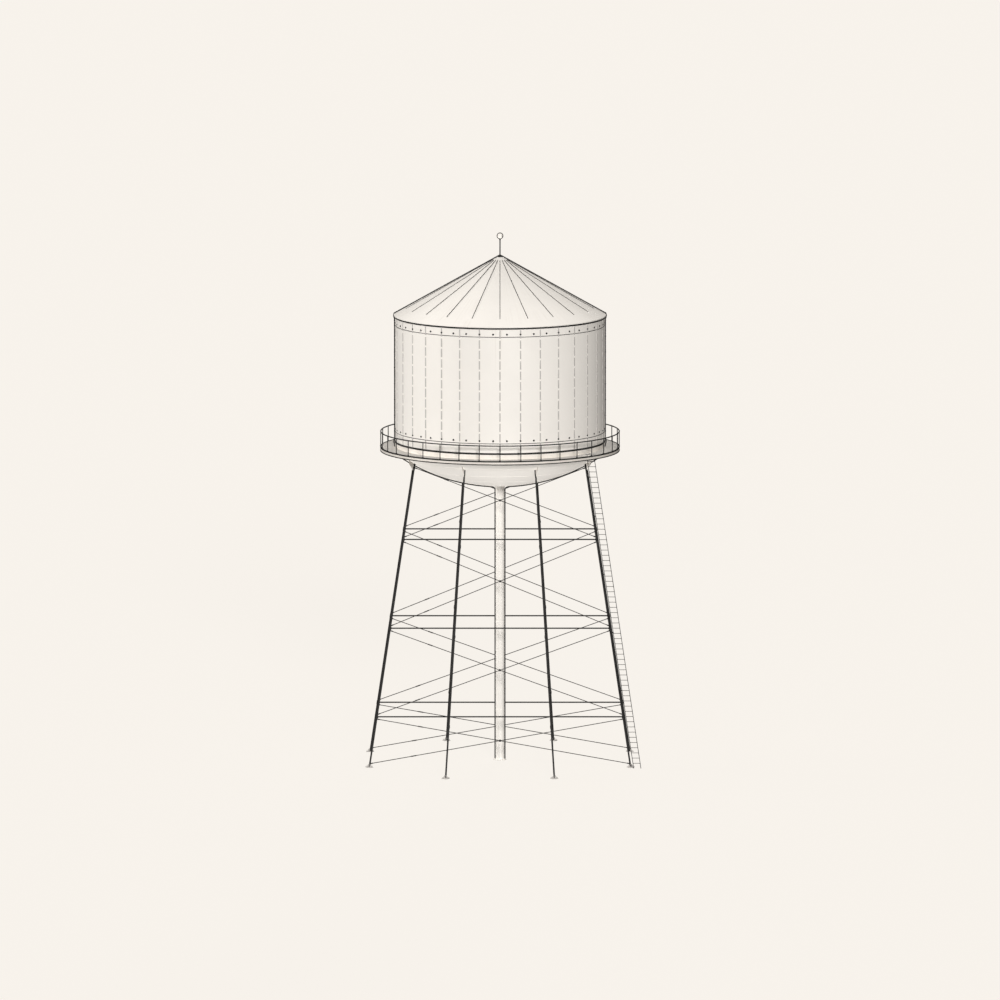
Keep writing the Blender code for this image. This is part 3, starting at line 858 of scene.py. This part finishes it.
class TOWER_OT_conduits(bpy.types.Operator):
    """Builds the two earthing conduits, from the finial down the roof, tank and riser to the ground"""
    bl_idname = "tower.conduits"
    bl_label = "Earthing Conduits"

    def execute(self, context):
        radius = sizes().conduit_radius
        off = radius + 0.004
        wall, eave, ring = TANK_RADIUS + 2 * LAP + off, EAVE_RADIUS + 0.014, TANK_RADIUS + 0.055 + off
        pipe = sizes().riser_radius + radius
        beside_seam = round_z(math.radians(2.2))
        above_roof = Vector((math.sin(ROOF_PITCH), 0.0, math.cos(ROOF_PITCH))) * off
        slope = standing([(reach, roof_z(reach)) for reach in (0.30, 3.0, EAVE_RADIUS - 0.03)])
        over_roof = [beside_seam @ (place + above_roof) for place in slope]
        last_angle = math.acos((sizes().riser_radius + 0.20) / sizes().crown_radius)
        under_bowl = [(reach, z) for reach, z in bowl_line(off + 0.09, 8, 12, last_angle)
                      if z < DECK_LOW_Z - 0.05]
        last_z = under_bowl[-1][1]
        points = standing([(0.02, ROOF_FLAT_Z + 0.11), (0.10, ROOF_FLAT_Z + 0.07)]) + over_roof + standing([
            (eave, SHELL_HIGH_Z + 0.01), (eave - 0.02, SHELL_HIGH_Z - 0.10), (wall, SHELL_HIGH_Z - 0.20),
            (wall, SHELL_LOW_Z + 0.16), (ring, SHELL_LOW_Z + 0.08), (ring, SHELL_LOW_Z - 0.08),
            (wall, SHELL_LOW_Z - 0.20), (wall - 0.02, DECK_LOW_Z), *under_bowl,
            (pipe + 0.03, last_z - 0.06), (pipe, last_z - 0.16), (pipe, 0.0)])

        wall_clips = [SHELL_LOW_Z + 0.55 + 0.93 * step for step in range(8)]
        half, height, ease = 0.05, 0.04, 0.006
        clips = [block("clip", (seat, -half, z), (reach + radius + ease, half, z + height), ease)
                 for seat, reach, levels in ((TANK_RADIUS, wall, wall_clips),
                                             (sizes().riser_radius - 0.01, pipe, RISER_CLIP_LEVELS))
                 for z in levels]
        line = joined("side", [tube_along("conduit", points, radius)] + clips)
        other = closed_again(copied(line, X_MIRROR))
        finished(joined("earthing_conduits", [line, other]), CHARCOAL, "trim_paint", smooth=50)
        return {"FINISHED"}


class TOWER_OT_walkway(bpy.types.Operator):
    """Builds the ring walkway: floor plate with its hatch, fascia, edge angles, curbs and beams"""
    bl_idname = "tower.walkway"
    bl_label = "Walkway"

    def execute(self, context):
        floor = band("walkway_floor", oblong(TANK_RADIUS - 0.09, FASCIA_RADIUS, FLOOR_UNDER_Z, DECK_TOP_Z))
        hatch = block("hatch", (*HATCH_LOW, FLOOR_UNDER_Z - 0.1), (*HATCH_HIGH, DECK_TOP_Z + 0.1), 0.02)
        finished(cut(floor, hatch), FLOOR_PLATE, "walkway_paint", "walkway_deck", "walkway_hatch_bay")

        fascia = oblong(FASCIA_RADIUS - 0.01, DECK_RADIUS - 0.02, DECK_LOW_Z, DECK_TOP_Z - 0.01)
        finished(band("walkway_fascia", fascia), CREAM, "walkway_paint")

        edges = [band("edge", oblong(FASCIA_RADIUS - 0.02, DECK_RADIUS + 0.005, low, high, ease=0.005))
                 for low, high in ((DECK_TOP_Z - 0.05, FOOT_Z), (DECK_LOW_Z - 0.045, DECK_LOW_Z + 0.010))]
        finished(joined("walkway_edges", edges), CHARCOAL, "rail_paint")

        curb = 0.03
        (left, near), (right, far) = HATCH_LOW, HATCH_HIGH
        curbs = [block("curb", (*low, FLOOR_UNDER_Z - 0.02), (*high, DECK_TOP_Z + curb), 0.004)
                 for low, high in (((left - curb, near - curb), (right + curb, near)),
                                   ((left - curb, far), (right + curb, far + curb)),
                                   ((left - curb, near), (left, far)), ((right, near), (right + curb, far)))]
        finished(joined("hatch_curbs", curbs), FLOOR_PLATE, "walkway_paint")

        plate, half, inner, outer = 0.012, 0.035, TANK_RADIUS - 0.12, FASCIA_RADIUS
        web = block("web", (inner, -plate / 2, DECK_LOW_Z + plate), (outer, plate / 2, FLOOR_UNDER_Z + 0.004),
                    0.002)
        flange = block("flange", (inner, -half, DECK_LOW_Z), (outer, half, DECK_LOW_Z + plate), 0.003)
        beams = ring_of("walkway_beams", joined("beam", [web, flange]), sizes().post_count, 0.0)
        finished(beams, CHARCOAL, "walkway_paint")
        return {"FINISHED"}


class TOWER_OT_railing(bpy.types.Operator):
    """Builds the railing's posts, feet and round top rail"""
    bl_idname = "tower.railing"
    bl_label = "Railing"

    def execute(self, context):
        tube, post, foot, sides = 0.035, 0.027, 0.055, 10
        reach, rail_z = DECK_RADIUS - 0.03, RAIL_TOP_Z - tube
        rail = band("rail", [(reach + tube * math.cos(turn), rail_z + tube * math.sin(turn))
                             for turn in (math.tau * side / sides for side in range(sides))])
        upright = turned("upright", [(0.0, FOOT_Z), (foot, FOOT_Z), (foot, FOOT_Z + 0.014),
                                     (post + 0.006, FOOT_Z + 0.02), (post, FOOT_Z + 0.05),
                                     (post, rail_z)], 12)
        bolts = ring_of("bolts", shifted(bolt(0.012, 0.012), 0.041, 0.0, FOOT_Z + 0.012), 4, math.pi / 4)
        stand = shifted(joined("stand", [upright, bolts]), reach, 0.0, 0.0)
        railing = joined("walkway_railing", [rail, ring_of("posts", stand, sizes().post_count, 0.0)])
        finished(railing, CHARCOAL, "rail_paint", *[f"walkway_rail_{side}" for side in BENTS], smooth=50)
        return {"FINISHED"}


class TOWER_OT_legs(bpy.types.Operator):
    """Builds the eight tube legs, with base plates, collars and top gussets"""
    bl_idname = "tower.legs"
    bl_label = "Legs"

    def foot(self):
        """A base plate with four anchor bolts and four stiffening fins, made at the origin."""
        half, thick, bolt_place, stud, stud_height = 0.18, 0.04, 0.135, 0.016, 0.066
        fin_low, fin_high, fin_near, fin_far = thick - 0.004, thick + 0.17, 0.05, 0.165
        parts = [block("plate", (-half, -half, 0.0), (half, half, thick), 0.006)]
        for x in (-bolt_place, bolt_place):
            for y in (-bolt_place, bolt_place):
                outline = [(0.0, 0.0), (stud, 0.0), (stud, 0.06), (0.012, stud_height), (0.0, stud_height)]
                parts.append(shifted(bolt(0.03, 0.028), x, y, thick))
                parts.append(shifted(turned("stud", outline, 10), x, y, thick))
        for quarter in range(4):
            plate = fin("fin", [(fin_near, fin_low), (fin_far, fin_low), (fin_far, thick + 0.02),
                                (fin_near + 0.01, fin_high), (fin_near, fin_high)], 0.014)
            parts.append(moved(plate, round_z(math.pi / 2 * quarter)))
        return joined("foot", parts)

    def execute(self, context):
        radius, collar = sizes().leg_radius, sizes().leg_radius + 0.010
        reach, top = leg_circle_at(GUSSET_LOW_Z), leg_circle_at(LEG_TOP_Z)
        gusset = fin("gusset", [(reach + 0.02, GUSSET_LOW_Z), (reach + 0.30, GUSSET_LOW_Z + 0.45),
                                (reach + 0.30, GUSSET_LOW_Z + 0.695), (top, GUSSET_LOW_Z + 0.42)], 0.02)
        first_foot = self.foot()
        feet, gussets = [], []
        for name in LEG_FEET:
            low, high = leg_point(name, 0.02), leg_point(name, LEG_TOP_Z)
            per_metre = (high - low).length / (high.z - low.z)
            sleeves = collars(radius, 0.012, 0.11, [(level - low.z) * per_metre for level in STRUT_LEVELS])
            tube = bar("tube_leg_" + name, low, high, [(radius, 0.0), *sleeves],
                       [(collar, 0.0), (collar, 0.41), (radius, 0.42)], 28)
            finished(tube, CHARCOAL, "leg_paint", "leg_" + name)
            turn = round_z(leg_angle(name))
            feet.append(copied(first_foot, Matrix.Translation(LEG_FEET[name]) @ turn))
            gussets.append(copied(gusset, turn))
        for spare in (first_foot, gusset):
            bpy.data.objects.remove(spare, do_unlink=True)
        finished(joined("leg_base_plates", feet), SEAM_GREY, "leg_paint")
        finished(joined("leg_top_gussets", gussets), CREAM, "leg_paint")
        return {"FINISHED"}


class TOWER_OT_struts(bpy.types.Operator):
    """Builds the three levels of struts, with end flanges and hubs where they cross"""
    bl_idname = "tower.struts"
    bl_label = "Struts"

    def execute(self, context):
        radius, flange = sizes().strut_radius, 0.075
        end = [(flange, 0.0), (flange, 0.034), (radius + 0.006, 0.04), (radius, 0.06)]
        hub, half, ease = 0.065, 0.065, 0.02
        hub_line = [(0.0, -half), (hub - ease, -half), (hub, ease - half), (hub, half - ease),
                    (hub - ease, half), (0.0, half)]
        for level, z in enumerate(STRUT_LEVELS, 1):
            parts = [bar("strut", *trimmed(*[leg_point(name, z) for name in ends]), end, end, 20)
                     for ends in BENTS.values()]
            near = abs(leg_point("front_right", z).x)
            for x in (-near, near):
                for y in (-near, near):
                    parts.append(shifted(turned("hub", hub_line, 20), x, y, z))
            struts = joined(f"struts_level_{level}", parts)
            finished(struts, CHARCOAL, "bracing_paint", f"strut_grid_{level}")
        return {"FINISHED"}


class TOWER_OT_rods(bpy.types.Operator):
    """Builds the crossed tie rods, with clevises, turnbuckles and a hub at each crossing"""
    bl_idname = "tower.rods"
    bl_label = "Tie Rods"

    def rod(self, low, high):
        radius, clevis, buckle, sleeve = sizes().rod_radius, 0.036, 0.033, 0.30
        low, high = trimmed(low, high)
        at = 0.16 * (high - low).length
        end = [(clevis, 0.0), (clevis, 0.12), (radius, 0.16)]
        turnbuckle = [(radius, at), (buckle, at + 0.03), (buckle, at + sleeve), (radius, at + sleeve + 0.03)]
        return bar("rod", low, high, end + turnbuckle, end, 12)

    def hub(self, ends, low_z, high_z):
        """A round clamp plate, in the bent's plane, where its two rods cross."""
        first, second, third, fourth = (leg_point(name, z) for z in (low_z, high_z) for name in ends)
        wide, narrow = (second - first).length, (fourth - third).length
        middle = first.lerp(fourth, wide / (wide + narrow))
        half, radius, nut, face, top = 0.036, 0.070, 0.028, 0.072, 0.084
        facing = (second - first).cross(third - first).normalized() * half
        plate = turned("hub", [(0.0, 0.0), (radius, 0.0), (radius, face - 0.010), (radius - 0.008, face),
                               (nut, face), (nut, top), (0.0, top)], 20)
        return lay(plate, middle - facing, middle + facing)

    def execute(self, context):
        floors = (LOWEST_ROD_Z - ROD_STEPS["front"],) + STRUT_LEVELS
        tops = STRUT_LEVELS + (HIGHEST_ROD_Z + ROD_STEPS["front"],)
        for bent, ends in BENTS.items():
            for tier, (floor, top) in enumerate(zip(floors, tops), 1):
                low, high = floor + ROD_STEPS[bent], top - ROD_STEPS[bent]
                rods = [self.rod(leg_point(ends[0], near), leg_point(ends[1], far))
                        for near, far in ((low, high), (high, low))]
                cross = joined(f"tie_rods_{bent}_{tier}", rods + [self.hub(ends, low, high)])
                finished(cross, ROD_GREY, "rod_paint", f"rods_{bent}_{tier}", smooth=45)
        return {"FINISHED"}


class TOWER_OT_riser(bpy.types.Operator):
    """Builds the riser pipe with its joints, its collar at the tank and its bolted base flange"""
    bl_idname = "tower.riser"
    bl_label = "Riser Pipe"

    def execute(self, context):
        radius, flange, base, ease = sizes().riser_radius, 0.36, 0.05, 0.006
        top = bowl_line(0.0, 4, 20)[-1][1] + 0.02
        pipe = turned("riser", [
            (0.0, 0.0), (flange, 0.0), (flange, base - ease), (flange - ease, base), (radius + 0.02, base),
            (radius, base + 0.05), *collars(radius, 0.008, 0.05, STRUT_LEVELS), (radius, top - 0.24),
            (radius + 0.02, top - 0.20), (radius + 0.05, top), (0.0, top)], 64)
        nuts = ring_of("nuts", shifted(bolt(0.022, 0.024), 0.318, 0.0, base), 12, 0.13)
        finished(joined("riser_main", [pipe, nuts]), CREAM, "riser_paint", "riser_pipe")
        return {"FINISHED"}


class TOWER_OT_ladder(bpy.types.Operator):
    """Builds the ladder, which follows the batter of its leg, with rungs, arms and clamps"""
    bl_idname = "tower.ladder"
    bl_label = "Ladder"

    def execute(self, context):
        parts = []
        wide, deep = 0.036, 0.056
        for offset in STILE_OFFSETS:
            low, high = ladder_point(offset, 0.0), ladder_point(offset, LADDER_TOP_Z)
            stile = block("stile", (-wide / 2, -deep / 2, 0.0), (wide / 2, deep / 2, high.z), 0.006)
            lean = Matrix.Identity(4)
            lean[0][2] = (high.x - low.x) / high.z
            lean[1][2] = (high.y - low.y) / high.z
            parts.append(moved(stile, Matrix.Translation(low) @ lean))

        rung, ferrule = 0.015, 0.022
        end = [(ferrule, 0.0), (ferrule, 0.026), (rung, 0.032)]
        for step in range(1, int(LADDER_TOP_Z / sizes().rung_spacing) + 1):
            low, high = (ladder_point(offset, step * sizes().rung_spacing) for offset in STILE_OFFSETS)
            parts.append(bar("rung", low, high, end, end, 10))

        arm, boss, clamp = 0.02, 0.030, 0.034
        for z in ARM_LEVELS:
            low, high = ladder_point(STILE_OFFSETS[0], z), leg_point(LADDER_LEG, z)
            high -= (high - low).normalized() * (sizes().leg_radius - 0.01)
            parts.append(bar("arm", low, high, [(boss, 0.0), (boss, 0.05), (arm, 0.06)],
                             [(clamp, 0.0), (clamp, 0.04), (arm, 0.05)], 12))
        finished(joined("climbing_ladder", parts), ROD_GREY, "ladder_paint", "ladder", smooth=45)
        return {"FINISHED"}


class TOWER_OT_stage(bpy.types.Operator):
    """Sets the plain pale floor, the soft lights and the camera"""
    bl_idname = "tower.stage"
    bl_label = "Stage"

    def paper(self, tree, kind, share=1.0, strength=None):
        """A shader in a share of the paper's colour."""
        node = tree.nodes.new("ShaderNode" + kind)
        node.inputs["Color"].default_value = (*(share * channel for channel in colours().paper), 1.0)
        if strength is not None:
            node.inputs["Strength"].default_value = strength
        return node.outputs[0]

    def show(self, tree, seen, unseen, output):
        """Gives the camera one shader and every other ray another."""
        ray = tree.nodes.new("ShaderNodeLightPath")
        either = tree.nodes.new("ShaderNodeMixShader")
        for value, socket in zip((ray.outputs["Is Camera Ray"], unseen, seen), either.inputs):
            tree.links.new(value, socket)
        tree.links.new(either.outputs[0], tree.nodes.new("ShaderNodeOutput" + output).inputs["Surface"])

    def floor(self):
        bpy.ops.object.select_all(action="DESELECT")
        bpy.ops.mesh.primitive_circle_add(vertices=96, radius=FLOOR_RADIUS, fill_type="NGON",
                                          location=(0.0, 0.0, 0.0))
        ground = bpy.context.object
        ground.name = "pale_floor"
        material = bpy.data.materials.new("Pale Floor")
        material.use_nodes = True
        tree = material.node_tree
        tree.nodes.clear()
        both = tree.nodes.new("ShaderNodeAddShader")
        tree.links.new(self.paper(tree, "Emission", strength=FLOOR_GLOW), both.inputs[0])
        tree.links.new(self.paper(tree, "BsdfDiffuse", FLOOR_SHADOW_SHARE), both.inputs[1])
        self.show(tree, both.outputs[0], self.paper(tree, "BsdfDiffuse", FLOOR_BOUNCE_SHARE), "Material")
        ground.data.materials.append(material)

    def world(self):
        world = bpy.data.worlds.new("Soft Studio")
        bpy.context.scene.world = world
        world.use_nodes = True
        tree = world.node_tree
        tree.nodes.clear()
        ambient = self.paper(tree, "Background", strength=AMBIENT)
        self.show(tree, self.paper(tree, "Background", strength=1.0), ambient, "World")

    def hung(self, name, data, middle, azimuth, elevation, distance):
        """Hangs a light or the camera off a middle and turns it to look back there."""
        turn, rise = math.radians(azimuth), math.radians(elevation)
        away = Vector((math.sin(turn) * math.cos(rise), -math.cos(turn) * math.cos(rise), math.sin(rise)))
        item = bpy.data.objects.new(name, data)
        bpy.context.scene.collection.objects.link(item)
        item.location = middle + away * distance
        item.rotation_euler = away.to_track_quat("Z", "Y").to_euler()
        return item

    def lights(self):
        for name, (azimuth, elevation, strength, softness, shadow, glints) in LIGHTS.items():
            light = bpy.data.lights.new(name, "SUN")
            light.energy = strength
            light.angle = math.radians(softness)
            light.use_shadow = shadow
            light.color = LIGHT_COLOUR
            lamp = self.hung(name, light, Vector(), azimuth, elevation, LIGHT_DISTANCE)
            lamp.visible_glossy = glints

    def camera(self):
        data = bpy.data.cameras.new("Long Lens")
        data.lens = LENS
        data.sensor_width = SENSOR
        data.clip_start = 10.0
        data.clip_end = 6000.0
        distance = FRAME_WIDTH * LENS / SENSOR
        aim = Vector((0.0, 0.0, AIM_Z))
        bpy.context.scene.camera = self.hung("Long Lens", data, aim, 0.0, VIEW_ELEVATION, distance)

    def execute(self, context):
        self.floor()
        self.world()
        self.lights()
        self.camera()
        context.scene.view_settings.view_transform = "Standard"
        return {"FINISHED"}


class TOWER_PT_panel(bpy.types.Panel):
    """Lists the tower's sizes, paints and building steps."""
    bl_idname = "TOWER_PT_panel"
    bl_label = "Water Tower"
    bl_space_type = "VIEW_3D"
    bl_region_type = "UI"
    bl_category = "Water Tower"

    def draw(self, context):
        for settings in (context.scene.tower_sizes, context.scene.tower_colours):
            box = self.layout.box()
            for label in settings.bl_rna.properties.keys():
                if label not in ("rna_type", "name"):
                    box.prop(settings, label)
        for step in STEPS:
            self.layout.operator(step.bl_idname)


STEPS = (TOWER_OT_wall, TOWER_OT_bottom, TOWER_OT_roof, TOWER_OT_rings, TOWER_OT_finial, TOWER_OT_conduits,
         TOWER_OT_walkway, TOWER_OT_railing, TOWER_OT_legs, TOWER_OT_struts, TOWER_OT_rods, TOWER_OT_riser,
         TOWER_OT_ladder, TOWER_OT_stage)
CLASSES = (TowerSizes, TowerColours, *STEPS, TOWER_PT_panel)


def register():
    for item in CLASSES:
        bpy.utils.register_class(item)
    bpy.types.Scene.tower_sizes = PointerProperty(type=TowerSizes)
    bpy.types.Scene.tower_colours = PointerProperty(type=TowerColours)


def unregister():
    del bpy.types.Scene.tower_colours
    del bpy.types.Scene.tower_sizes
    for item in reversed(CLASSES):
        bpy.utils.unregister_class(item)


def main():
    register()
    bpy.ops.object.select_all(action="DESELECT")
    bpy.ops.tower.wall()
    bpy.ops.tower.bottom()
    bpy.ops.tower.roof()
    bpy.ops.tower.rings()
    bpy.ops.tower.finial()
    bpy.ops.tower.conduits()
    bpy.ops.tower.walkway()
    bpy.ops.tower.railing()
    bpy.ops.tower.legs()
    bpy.ops.tower.struts()
    bpy.ops.tower.rods()
    bpy.ops.tower.riser()
    bpy.ops.tower.ladder()
    bpy.ops.tower.stage()
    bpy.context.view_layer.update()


if __name__ == "__main__":
    main()
